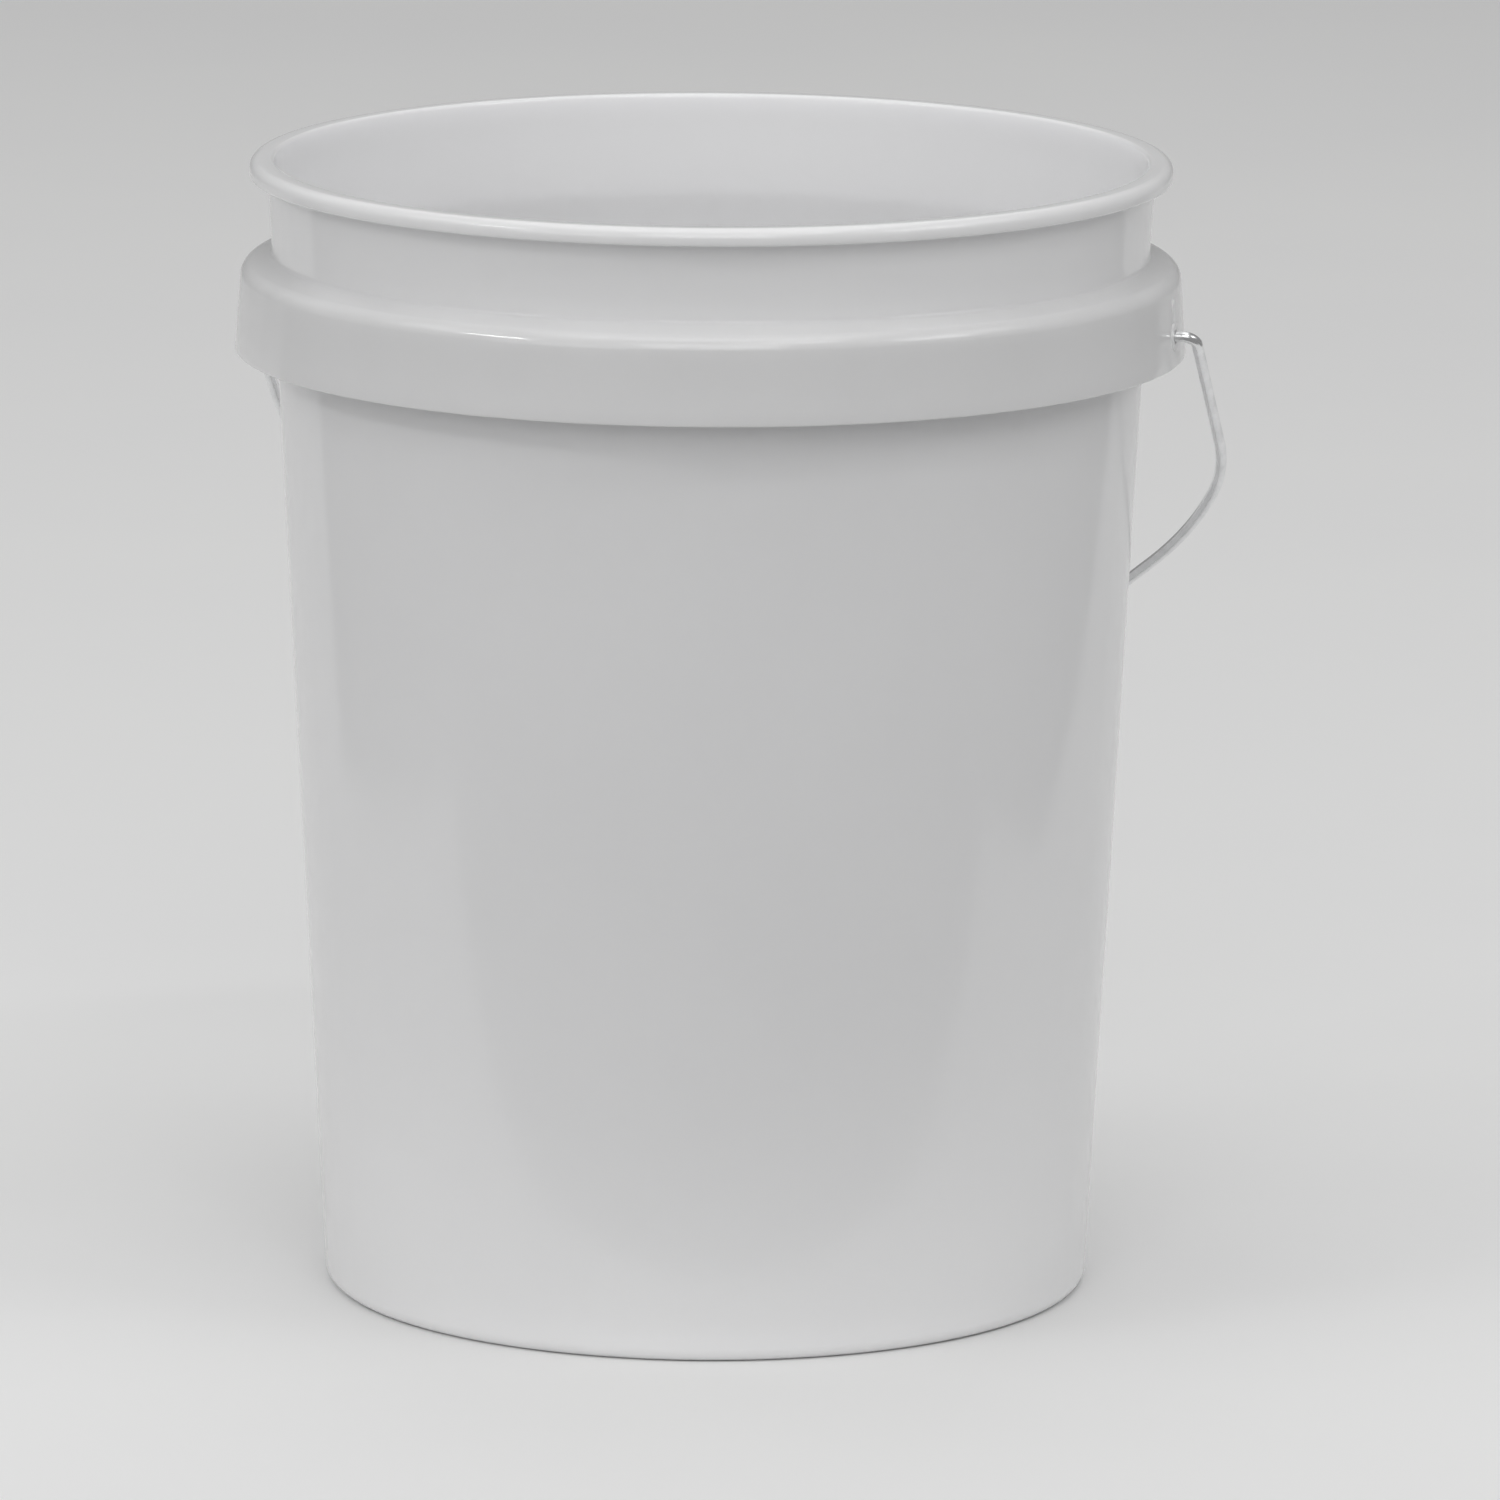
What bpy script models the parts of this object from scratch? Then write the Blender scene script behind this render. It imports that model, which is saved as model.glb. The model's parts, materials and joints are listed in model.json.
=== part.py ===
"""Plastic fermenting bucket: an open pail moulded in one piece, its wire bail and the grip on the bail.

Metres, +Z up, standing on z = 0 with its axis on the Z axis. The ears that hold the bail are on
+X and -X. The bail is swung down to the back, +Y, where its grip rests against the wall.
"""

import math

import bmesh
import bpy
from mathutils import Vector

SEGMENTS = 72
MM = 0.001

# Pail: wall, floor and foot
HEIGHT = 368 * MM
BASE_RADIUS = 123.7 * MM  # of the outer wall, carried straight down to z = 0
TAPER = 0.052  # radius gained by each unit of height
WALL = 2.3 * MM
CORNER_RADIUS = 5 * MM
INNER_CORNER_RADIUS = 8 * MM
FLOOR = 2.5 * MM
FOOT_RECESS = 2.5 * MM
FOOT_WIDTH = 8 * MM
FOOT_SLOPE = 1.5 * MM
GATE_RADIUS = 6 * MM
GATE_DEPTH = 0.8 * MM

# Pail: rim bead
BEAD_RADIUS = 148.5 * MM
BEAD_HEIGHT = 5.5 * MM
BEAD_TOP_ROUND = 3.2 * MM
BEAD_BOTTOM_ROUND = 0.7 * MM
BEAD_INNER_ROUND = 1.3 * MM
BEAD_FILLET = 1 * MM

# Pail: stacking skirt below the neck, with its gussets
SKIRT_BOTTOM = 306.5 * MM
SKIRT_RADIUS = 153.1 * MM
SKIRT_FLARE = 0.068  # radius lost by each unit of height
SHOULDER_Z = 329.7 * MM  # where the skirt starts to turn in
SHOULDER_ROUND = 5.5 * MM
SHOULDER_SLOPE = 20  # degrees down from the neck to the round
SHOULDER_FILLET = 1.5 * MM
CAVITY_FILLET = 1.2 * MM
LIP_OUTER_ROUND = 0.4 * MM
LIP_INNER_ROUND = 0.7 * MM
GUSSETS = 16
GUSSET_THICKNESS = 1.8 * MM
GUSSET_BOTTOM = 311 * MM

# Pail: ears
PIVOT_Z = 316.5 * MM
PIVOT_HOLE_RADIUS = 2.2 * MM
EAR_RADIUS = 4.8 * MM
EAR_HEIGHT = 0.4 * MM
EAR_BEVEL = 0.25 * MM
EAR_RIB_WIDTH = 3.5 * MM
EAR_RIB_HEIGHT = 0.6 * MM
EAR_RIB_TOP = 328.5 * MM
EAR_ROOT = 150.9 * MM  # x inside the skirt's thickness, where boss and rib start

# Bail: the wire's centreline lies in one plane through the pivots
WIRE_RADIUS = 1.8 * MM
WIRE_SIDES = 12
BAIL_TILT = 45.18  # degrees from hanging straight down, towards the back
BAIL_HALF_WIDTH = 157.5 * MM
BAIL_SHIFT = 1.7 * MM  # the bail has slid this far towards +X in its holes
LEG_LENGTH = 57.3 * MM
CROOK_RADIUS = 75.3 * MM
CROOK_ANGLE = 24.3  # degrees that the wire has turned at the crook's end
BOW_RADIUS = 169.9 * MM
BOW_ANGLE = 40.5
SEAT_BEND_RADIUS = 30 * MM
SEAT_HALF_LENGTH = 46.3 * MM  # straight run that carries the grip
EYE_BEND_RADIUS = 4.2 * MM
TAIL_X = 145.3 * MM  # hooked end, between the skirt and the wall
TAIL_BEND_RADIUS = 3.4 * MM
TAIL_LENGTH = 8 * MM

# Grip
GRIP_HALF_LENGTH = 45 * MM
GRIP_RADIUS = 11.8 * MM
GRIP_WAIST_RADIUS = 10.4 * MM
GRIP_MIDDLE_RADIUS = 11.2 * MM
GRIP_COLLAR = 5 * MM
GRIP_END_ROUND = 1.5 * MM
GRIP_BORE_RADIUS = 2.3 * MM
GRIP_CUP_RADIUS = 8.6 * MM
GRIP_CUP_DEPTH = 5 * MM
GRIP_SEGMENTS = 32


def wall_radius(z):
    return BASE_RADIUS + TAPER * z


def skirt_radius(z):
    return SKIRT_RADIUS - SKIRT_FLARE * (z - SKIRT_BOTTOM)


def arc(centre, radius, start, end, steps):
    """Points from one angle to another, in degrees, both ends included."""
    points = []
    for i in range(steps + 1):
        angle = math.radians(start + (end - start) * i / steps)
        x = centre[0] + radius * math.cos(angle)
        y = centre[1] + radius * math.sin(angle)
        points.append((x, y))
    return points


def corner_centre(base_radius, radius, z):
    """Centre of an arc that touches the plane z and, from inside, the cone of this base radius."""
    reach = radius * math.hypot(1, TAPER)
    return (base_radius + TAPER * (z + radius) - reach, z + radius)


def shoulder_centre():
    """Centre of the shoulder's round, which touches the skirt."""
    return (skirt_radius(SHOULDER_Z) - SHOULDER_ROUND * math.hypot(1, SKIRT_FLARE), SHOULDER_Z)


def shoulder_line(reach, gap):
    """Point on a line parallel to the sloped shoulder, at this distance from the centre of its round.

    The point lies this far outside the neck's outer face, measured level.
    """
    centre = shoulder_centre()
    slope = math.radians(SHOULDER_SLOPE)
    radius = centre[0] + reach * math.sin(slope)
    z = centre[1] + reach * math.cos(slope)
    run = (radius - wall_radius(z) - gap) / (math.cos(slope) + TAPER * math.sin(slope))
    return (radius - run * math.cos(slope), z + run * math.sin(slope))


def shoulder_arc(depth):
    """The shoulder's round at this depth under its outer face, from the slope down to the skirt."""
    radius = SHOULDER_ROUND - depth
    lean = math.degrees(math.atan(SKIRT_FLARE))
    return arc(shoulder_centre(), radius, 90 - SHOULDER_SLOPE, lean, 4)


def pail_profile():
    """Closed outline of the pail's cut wall as (radius, z), from the axis under the floor to the axis above it."""
    lean = math.degrees(math.atan(TAPER))
    skirt_lean = math.degrees(math.atan(SKIRT_FLARE))
    under = FOOT_RECESS
    foot_outer = corner_centre(BASE_RADIUS, CORNER_RADIUS, 0)
    foot_inner = foot_outer[0] - FOOT_WIDTH
    profile = [
        (0, under + GATE_DEPTH),
        (GATE_RADIUS, under + GATE_DEPTH),
        (GATE_RADIUS + GATE_DEPTH, under),
        (foot_inner - FOOT_SLOPE, under),
        (foot_inner, 0),
    ]
    profile += arc(foot_outer, CORNER_RADIUS, -90, -lean, 5)

    # Under the skirt
    reach = SHOULDER_ROUND - WALL - CAVITY_FILLET
    root = shoulder_line(reach, CAVITY_FILLET * math.hypot(1, TAPER))
    profile += arc(root, CAVITY_FILLET, 180 - lean, 90 - SHOULDER_SLOPE, 2)
    profile += shoulder_arc(WALL)

    # The skirt's foot, then its outer face and the shoulder
    foot = skirt_radius(SKIRT_BOTTOM)
    inner_edge = (foot - WALL + LIP_INNER_ROUND, SKIRT_BOTTOM + LIP_INNER_ROUND)
    profile += arc(inner_edge, LIP_INNER_ROUND, -180, -90, 2)
    outer_edge = (foot - LIP_OUTER_ROUND, SKIRT_BOTTOM + LIP_OUTER_ROUND)
    profile += arc(outer_edge, LIP_OUTER_ROUND, -90, 0, 2)
    profile += arc(shoulder_centre(), SHOULDER_ROUND, skirt_lean, 90 - SHOULDER_SLOPE, 5)
    fillet = shoulder_line(
        SHOULDER_ROUND + SHOULDER_FILLET,
        SHOULDER_FILLET * math.hypot(1, TAPER),
    )
    profile += arc(fillet, SHOULDER_FILLET, 270 - SHOULDER_SLOPE, 180 - lean, 3)

    # Neck and rim bead
    bead_z = HEIGHT - BEAD_HEIGHT
    neck_z = bead_z - BEAD_FILLET
    profile += arc((wall_radius(neck_z) + BEAD_FILLET, neck_z), BEAD_FILLET, 180 - lean, 90, 2)
    low = (BEAD_RADIUS - BEAD_BOTTOM_ROUND, bead_z + BEAD_BOTTOM_ROUND)
    profile += arc(low, BEAD_BOTTOM_ROUND, -90, 0, 2)
    high = (BEAD_RADIUS - BEAD_TOP_ROUND, HEIGHT - BEAD_TOP_ROUND)
    profile += arc(high, BEAD_TOP_ROUND, 0, 90, 3)
    bore = wall_radius(HEIGHT) - WALL
    inner = (bore + BEAD_INNER_ROUND, HEIGHT - BEAD_INNER_ROUND)
    profile += arc(inner, BEAD_INNER_ROUND, 90, 180, 2)

    # Inside
    floor_z = FOOT_RECESS + FLOOR
    inside = corner_centre(BASE_RADIUS - WALL, INNER_CORNER_RADIUS, floor_z)
    profile += arc(inside, INNER_CORNER_RADIUS, -lean, -90, 4)
    profile.append((0, floor_z))
    return profile


def mesh_object(name, bm):
    bmesh.ops.recalc_face_normals(bm, faces=bm.faces)
    mesh = bpy.data.meshes.new(name)
    bm.to_mesh(mesh)
    bm.free()
    obj = bpy.data.objects.new(name, mesh)
    bpy.context.scene.collection.objects.link(obj)
    return obj


def turn(bm, profile, segments, place):
    """Turns an outline of (radius, height) once round. An open outline starts and ends on the axis."""
    rings = []
    for radius, height in profile:
        if radius == 0:
            rings.append([bm.verts.new(place(0, 0, height))])
            continue
        ring = []
        for i in range(segments):
            angle = 2 * math.pi * i / segments
            ring.append(bm.verts.new(place(radius * math.cos(angle), radius * math.sin(angle), height)))
        rings.append(ring)
    pairs = list(zip(rings, rings[1:]))
    if len(rings[0]) > 1:
        pairs.append((rings[-1], rings[0]))
    for low, high in pairs:
        for i in range(segments):
            j = (i + 1) % segments
            corners = [low[i % len(low)], low[j % len(low)], high[j % len(high)], high[i % len(high)]]
            bm.faces.new(dict.fromkeys(corners))


def prism(bm, outline, near, far):
    """Joins two copies of an outline, each placed by its own function, into a closed solid."""
    first = [bm.verts.new(near(*point)) for point in outline]
    second = [bm.verts.new(far(*point)) for point in outline]
    bm.faces.new(first)
    bm.faces.new(reversed(second))
    for i in range(len(outline)):
        j = (i + 1) % len(outline)
        bm.faces.new((first[i], first[j], second[j], second[i]))


def helper(name, bm):
    obj = mesh_object(name, bm)
    obj.hide_render = True
    obj.display_type = "WIRE"
    return obj


def boolean(obj, other, operation):
    modifier = obj.modifiers.new(other.name, "BOOLEAN")
    modifier.object = other
    modifier.operation = operation
    modifier.solver = "EXACT"


def gusset_plates():
    """Upright plates that tie the skirt to the wall. They start and end inside the material."""
    deep = WALL / 2
    top = shoulder_line(SHOULDER_ROUND - deep, -deep)
    outline = [(wall_radius(GUSSET_BOTTOM) - deep, GUSSET_BOTTOM), top]
    outline += shoulder_arc(deep)
    outline.append((skirt_radius(GUSSET_BOTTOM) - deep, GUSSET_BOTTOM))
    bm = bmesh.new()
    for i in range(GUSSETS):
        angle = 2 * math.pi * (i + 0.5) / GUSSETS
        along = Vector((math.cos(angle), math.sin(angle), 0))
        aside = Vector((-math.sin(angle), math.cos(angle), 0)) * GUSSET_THICKNESS / 2

        def near(radius, z):
            return along * radius + aside + Vector((0, 0, z))

        def far(radius, z):
            return along * radius - aside + Vector((0, 0, z))

        prism(bm, outline, near, far)
    return helper("gusset_plates", bm)


def ear_bosses():
    """Round boss about each pivot hole."""
    face = skirt_radius(PIVOT_Z) + EAR_HEIGHT
    profile = [
        (0, EAR_ROOT),
        (EAR_RADIUS, EAR_ROOT),
        (EAR_RADIUS, face - EAR_BEVEL),
        (EAR_RADIUS - EAR_BEVEL, face),
        (0, face),
    ]
    bm = bmesh.new()
    for side in (1, -1):
        turn(bm, profile, 24, lambda y, z, x: (side * x, y, PIVOT_Z + z))
    return helper("ear_bosses", bm)


def ear_ribs():
    """Upright rib that runs from each pivot hole up to the shoulder, rounded at its top."""
    half = EAR_RIB_WIDTH / 2
    outline = [(half, PIVOT_Z), *arc((0, EAR_RIB_TOP - half), half, 0, 180, 8), (-half, PIVOT_Z)]
    bm = bmesh.new()
    for side in (1, -1):
        prism(
            bm,
            outline,
            lambda y, z: (side * EAR_ROOT, y, z),
            lambda y, z: (side * (skirt_radius(z) + EAR_RIB_HEIGHT), y, z),
        )
    return helper("ear_ribs", bm)


def pivot_drill():
    inside = TAIL_X
    outside = BAIL_HALF_WIDTH
    profile = [(0, inside), (PIVOT_HOLE_RADIUS, inside), (PIVOT_HOLE_RADIUS, outside), (0, outside)]
    bm = bmesh.new()
    for side in (1, -1):
        turn(bm, profile, 20, lambda y, z, x: (side * x, y, PIVOT_Z + z))
    return helper("pivot_drill", bm)


def wire_path():
    """Half of the bail's centreline as (x, distance below the pivots), from the hooked tail to the middle."""
    crook_centre = (BAIL_HALF_WIDTH - CROOK_RADIUS, LEG_LENGTH)
    crook = arc(crook_centre, CROOK_RADIUS, 0, CROOK_ANGLE, 5)
    turned = math.radians(CROOK_ANGLE)
    inward = BOW_RADIUS - CROOK_RADIUS
    bow_centre = (
        crook_centre[0] - inward * math.cos(turned),
        crook_centre[1] - inward * math.sin(turned),
    )
    bow = arc(bow_centre, BOW_RADIUS, CROOK_ANGLE, BOW_ANGLE, 4)

    # A straight side leads to the bend whose end is the seat
    side_end_x = SEAT_HALF_LENGTH + SEAT_BEND_RADIUS * math.cos(math.radians(BOW_ANGLE))
    slope = 1 / math.tan(math.radians(BOW_ANGLE))
    side_end_depth = bow[-1][1] + (bow[-1][0] - side_end_x) * slope
    rise = SEAT_BEND_RADIUS * math.sin(math.radians(BOW_ANGLE))
    seat_centre = (SEAT_HALF_LENGTH, side_end_depth - rise)
    seat_bend = arc(seat_centre, SEAT_BEND_RADIUS, BOW_ANGLE, 90, 7)

    tail_centre = (TAIL_X + TAIL_BEND_RADIUS, TAIL_BEND_RADIUS)
    eye_centre = (BAIL_HALF_WIDTH - EYE_BEND_RADIUS, EYE_BEND_RADIUS)
    path = [(TAIL_X, TAIL_LENGTH)]
    path += arc(tail_centre, TAIL_BEND_RADIUS, 180, 270, 5)
    path += arc(eye_centre, EYE_BEND_RADIUS, -90, 0, 6)
    path += crook + bow[1:] + seat_bend
    return path


def bail_wire():
    """Sweeps the wire's circle along the whole centreline, which starts and ends in a closed cap."""
    half = wire_path()
    path = [Vector((x, 0, -depth)) for x, depth in half]
    path += [Vector((-x, 0, -depth)) for x, depth in reversed(half)]
    bm = bmesh.new()
    rings = []
    for i, point in enumerate(path):
        before = (point - path[i - 1]).normalized() if i else None
        after = (path[i + 1] - point).normalized() if i < len(path) - 1 else None
        along = ((before or after) + (after or before)).normalized()
        aside = Vector((along.z, 0, -along.x))
        # A mitred ring is wider than the wire, by the cosine of half the turn.
        aside /= (before or after).dot(along)
        ring = []
        for k in range(WIRE_SIDES):
            angle = 2 * math.pi * k / WIRE_SIDES
            offset = aside * math.cos(angle) + Vector((0, math.sin(angle), 0))
            ring.append(bm.verts.new(point + offset * WIRE_RADIUS))
        rings.append(ring)
    for low, high in zip(rings, rings[1:]):
        for k in range(WIRE_SIDES):
            j = (k + 1) % WIRE_SIDES
            bm.faces.new((low[k], low[j], high[j], high[k]))
    bm.faces.new(rings[0])
    bm.faces.new(rings[-1])
    return mesh_object("bail", bm)


def grip_profile():
    """Closed outline of the grip as (radius, distance along it)."""
    end = GRIP_HALF_LENGTH
    collar = end - GRIP_COLLAR
    shoulder = GRIP_RADIUS - GRIP_WAIST_RADIUS
    half = [
        (GRIP_BORE_RADIUS, end - GRIP_CUP_DEPTH),
        (GRIP_CUP_RADIUS, end - GRIP_CUP_DEPTH),
        (GRIP_CUP_RADIUS, end),
    ]
    half += arc((GRIP_RADIUS - GRIP_END_ROUND, end - GRIP_END_ROUND), GRIP_END_ROUND, 90, 0, 3)
    half += [
        (GRIP_RADIUS, collar),
        (GRIP_WAIST_RADIUS, collar - shoulder),
        (GRIP_MIDDLE_RADIUS, collar / 2),
    ]
    return half + [(radius, -along) for radius, along in reversed(half)]


def bail_grip():
    bm = bmesh.new()
    turn(bm, grip_profile(), GRIP_SEGMENTS, lambda y, z, x: (x, y, z))
    return mesh_object("grip", bm)


def finish(obj, colour, roughness, metallic):
    material = bpy.data.materials.new(obj.name)
    material.use_nodes = True
    shader = material.node_tree.nodes["Principled BSDF"]
    shader.inputs["Base Color"].default_value = (*colour, 1)
    shader.inputs["Roughness"].default_value = roughness
    shader.inputs["Metallic"].default_value = metallic
    obj.data.materials.append(material)
    for polygon in obj.data.polygons:
        polygon.use_smooth = True
    obj.data.set_sharp_from_angle(angle=math.radians(35))


def build_pail():
    bm = bmesh.new()
    turn(bm, pail_profile(), SEGMENTS, lambda x, y, z: (x, y, z))
    pail = mesh_object("pail", bm)
    boolean(pail, gusset_plates(), "UNION")
    boolean(pail, ear_bosses(), "UNION")
    boolean(pail, ear_ribs(), "UNION")
    boolean(pail, pivot_drill(), "DIFFERENCE")
    finish(pail, (0.86, 0.86, 0.85), 0.35, 0)


def build_bail():
    tilt = math.radians(BAIL_TILT)
    bail = bail_wire()
    bail.location = (BAIL_SHIFT, 0, PIVOT_Z)
    bail.rotation_euler.x = tilt
    finish(bail, (0.62, 0.63, 0.64), 0.3, 1)

    depth = wire_path()[-1][1]
    grip = bail_grip()
    grip.location = (BAIL_SHIFT, depth * math.sin(tilt), PIVOT_Z - depth * math.cos(tilt))
    grip.rotation_euler.x = tilt
    finish(grip, (0.84, 0.84, 0.83), 0.45, 0)


def main():
    for obj in list(bpy.data.objects):
        bpy.data.objects.remove(obj, do_unlink=True)
    build_pail()
    build_bail()


main()
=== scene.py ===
"""Looks of the plastic fermenting bucket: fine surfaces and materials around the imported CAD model.

Metres, in the CAD model's frame: +Z up, the ears on +X and -X, the bail down at the back, +Y.
"""

import json
import math

import bmesh
import bpy
from mathutils import Matrix, Vector, noise


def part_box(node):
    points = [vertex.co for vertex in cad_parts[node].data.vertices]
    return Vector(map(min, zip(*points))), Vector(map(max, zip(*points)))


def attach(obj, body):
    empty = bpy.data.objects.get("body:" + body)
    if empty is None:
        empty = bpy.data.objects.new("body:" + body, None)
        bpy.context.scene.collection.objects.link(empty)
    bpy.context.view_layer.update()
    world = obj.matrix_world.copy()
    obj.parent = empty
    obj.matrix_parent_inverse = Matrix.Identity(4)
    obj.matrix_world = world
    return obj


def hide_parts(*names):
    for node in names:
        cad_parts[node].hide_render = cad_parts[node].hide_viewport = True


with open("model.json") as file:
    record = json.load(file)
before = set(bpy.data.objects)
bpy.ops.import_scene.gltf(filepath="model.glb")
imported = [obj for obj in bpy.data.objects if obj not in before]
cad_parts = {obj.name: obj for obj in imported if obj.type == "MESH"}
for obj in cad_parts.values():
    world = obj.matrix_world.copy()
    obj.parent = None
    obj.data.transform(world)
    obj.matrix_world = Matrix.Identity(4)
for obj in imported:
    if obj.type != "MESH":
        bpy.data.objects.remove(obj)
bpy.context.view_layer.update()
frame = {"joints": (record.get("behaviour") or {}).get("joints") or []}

MM = 0.001

# Pail, as in the CAD model
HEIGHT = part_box("pail")[1].z
BASE_RADIUS = 123.7 * MM
TAPER = 0.052
WALL = 2.3 * MM
CORNER_RADIUS = 5 * MM
INNER_CORNER_RADIUS = 8 * MM
FLOOR = 2.5 * MM
FOOT_RECESS = 2.5 * MM
FOOT_WIDTH = 8 * MM
BEAD_RADIUS = 148.5 * MM
BEAD_HEIGHT = 5.5 * MM
BEAD_TOP_ROUND = 3.2 * MM
BEAD_BOTTOM_ROUND = 0.7 * MM
BEAD_INNER_ROUND = 1.3 * MM
BEAD_FILLET = 1 * MM
SKIRT_BOTTOM = 306.5 * MM
SKIRT_RADIUS = 153.1 * MM
SKIRT_FLARE = 0.068
SHOULDER_Z = 329.7 * MM
SHOULDER_ROUND = 5.5 * MM
SHOULDER_SLOPE = 20  # degrees down from the neck to the round
SHOULDER_FILLET = 1.5 * MM
CAVITY_FILLET = 1.2 * MM
LIP_OUTER_ROUND = 0.4 * MM
LIP_INNER_ROUND = 0.7 * MM
GUSSETS = 16
GUSSET_THICKNESS = 1.8 * MM
GUSSET_BOTTOM = 311 * MM
PAIL_SEGMENTS = 288

# Shrinkage of the pail's moulding
FLAT_RADIUS = 100 * MM
SINK_DEPTH = 0.10 * MM
SINK_HALF_WIDTH = 4 * MM
SINK_TOP = HEIGHT - 28 * MM
SINK_INNER_RADIUS = 144 * MM
SWELL = 0.12 * MM
FINE_SWELL = 0.02 * MM
MEAN_SHRINKAGE = 0.08 * MM

# Ears
JOINTS = {joint["name"]: joint for joint in frame["joints"]}
PIVOT = Vector(JOINTS["bail_hinge"]["pos_m"])
PIVOT_HOLE_RADIUS = 2.2 * MM
EAR_RADIUS = 4.8 * MM
EAR_HEIGHT = 0.4 * MM
EAR_ROUND = 0.25 * MM
EAR_RIB_WIDTH = 3.5 * MM
EAR_RIB_HEIGHT = 0.6 * MM
EAR_RIB_TOP = 328.5 * MM
EAR_ROOT = 150.9 * MM

# Bail and grip
GRIP_CENTRE = Vector(JOINTS["grip_spin"]["pos_m"])
WIRE_RADIUS = 1.8 * MM
BAIL_SHIFT = GRIP_CENTRE.x
BAIL_HALF_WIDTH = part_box("bail")[1].x - WIRE_RADIUS - BAIL_SHIFT
LEG_LENGTH = 57.3 * MM
CROOK_RADIUS = 75.3 * MM
CROOK_ANGLE = 24.3
BOW_RADIUS = 169.9 * MM
BOW_ANGLE = 40.5
SEAT_BEND_RADIUS = 30 * MM
SEAT_HALF_LENGTH = 46.3 * MM
EYE_BEND_RADIUS = 4.2 * MM
TAIL_X = 145.3 * MM
TAIL_BEND_RADIUS = 3.4 * MM
TAIL_LENGTH = 8 * MM
GRIP_HALF_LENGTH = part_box("grip")[1].x - BAIL_SHIFT
GRIP_RADIUS = 11.8 * MM
GRIP_BORE_RADIUS = 2.3 * MM

# The Mix node's sockets for colours, which share their names with the other kinds
MIX_COLOURS = slice(6, 8)
MIX_RESULT = 2

# Studio: its own frame is turned so that the camera stands on -Y
STUDIO = Matrix.Rotation(math.radians(13.48), 4, "Z")
FLOOR_HALF_WIDTH = 14
CARD_HALF_WIDTH = 12
CARD_LIFT = 2 * MM
CARD_GREY = 0.27
ROOM_LIGHT = 0.28
CAMERA_DISTANCE = 4.2
CAMERA_HEIGHT = 1.007
CAMERA_PITCH = 11.217  # degrees below level
CAMERA_YAW = 0.184  # degrees to the right of the pail's axis
CAMERA_ROLL = 0.35
LENS = 317.1  # mm
SENSOR_WIDTH = 36  # mm
CLIP_END = 60


def wall_radius(z):
    return BASE_RADIUS + TAPER * z


def skirt_radius(z):
    return SKIRT_RADIUS - SKIRT_FLARE * (z - SKIRT_BOTTOM)


def arc(centre, radius, start, end, steps):
    """Points from one angle to another, in degrees, both ends included."""
    points = []
    for i in range(steps + 1):
        angle = math.radians(start + (end - start) * i / steps)
        points.append((centre[0] + radius * math.cos(angle), centre[1] + radius * math.sin(angle)))
    return points


def straight(start, end, step):
    """Points between start and end, which are left out, no more than step apart."""
    count = math.ceil(math.dist(start, end) / step)
    return [
        (
            start[0] + (end[0] - start[0]) * i / count,
            start[1] + (end[1] - start[1]) * i / count,
        )
        for i in range(1, count)
    ]


def joined(*runs, step):
    """Runs of points end to end, with the straights between them divided."""
    points = list(runs[0])
    for run in runs[1:]:
        points += straight(points[-1], run[0], step)
        points += run
    return points


def corner_centre(base_radius, radius, z):
    """Centre of an arc that touches the plane z and, from inside, the cone of this base radius."""
    reach = radius * math.hypot(1, TAPER)
    return (base_radius + TAPER * (z + radius) - reach, z + radius)


def shoulder_centre():
    """Centre of the shoulder's round, which touches the skirt."""
    return (skirt_radius(SHOULDER_Z) - SHOULDER_ROUND * math.hypot(1, SKIRT_FLARE), SHOULDER_Z)


def shoulder_line(reach, gap):
    """Point on a line parallel to the sloped shoulder, at this distance from the centre of its round.

    The point lies this far outside the neck's outer face, measured level.
    """
    centre = shoulder_centre()
    slope = math.radians(SHOULDER_SLOPE)
    radius = centre[0] + reach * math.sin(slope)
    z = centre[1] + reach * math.cos(slope)
    run = (radius - wall_radius(z) - gap) / (math.cos(slope) + TAPER * math.sin(slope))
    return (radius - run * math.cos(slope), z + run * math.sin(slope))


def shoulder_arc(depth, steps):
    """The shoulder's round at this depth under its outer face, from the slope down to the skirt."""
    lean = math.degrees(math.atan(SKIRT_FLARE))
    return arc(shoulder_centre(), SHOULDER_ROUND - depth, 90 - SHOULDER_SLOPE, lean, steps)


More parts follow.
